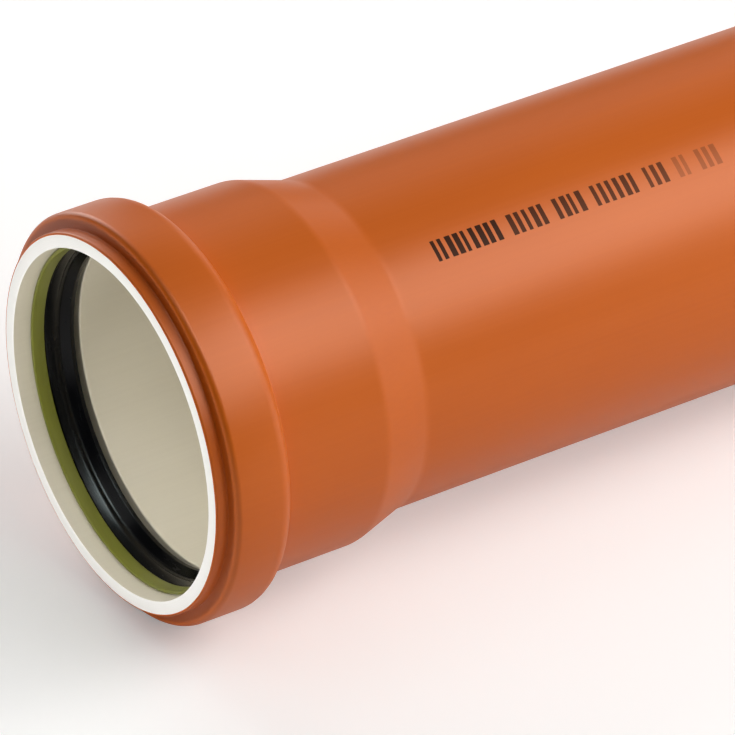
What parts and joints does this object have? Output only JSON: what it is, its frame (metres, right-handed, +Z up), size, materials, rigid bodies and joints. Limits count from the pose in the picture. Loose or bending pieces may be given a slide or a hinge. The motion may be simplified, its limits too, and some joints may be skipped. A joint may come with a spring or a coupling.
{
  "type": "polypropylene drain pipe",
  "caption": "Straight drain pipe with a socket formed on one end, a rubber lip seal held in the socket's chamber by a plastic ring, and a plain chamfered spigot at the other end.",
  "frame": {"origin": "on the floor under the middle of the pipe's box", "axes": "+X from the socket's mouth to the spigot, +Z up; the pipe's axis dips 1 degree towards +X because it lies on its bead and its spigot"},
  "size_m": [1.0952, 0.1966, 0.1969],
  "materials": {
    "orange_polypropylene": "satin extruded polypropylene, orange-brown outside and pale grey-beige inside",
    "seal_rubber": "smooth moulded black rubber with a film of lubricant",
    "ring_plastic": "moulded olive-green polypropylene"
  },
  "bodies": {
    "root": {"pipe": "orange_polypropylene", "sealing_ring": "seal_rubber", "retaining_ring": "ring_plastic"}
  },
  "joints": []
}
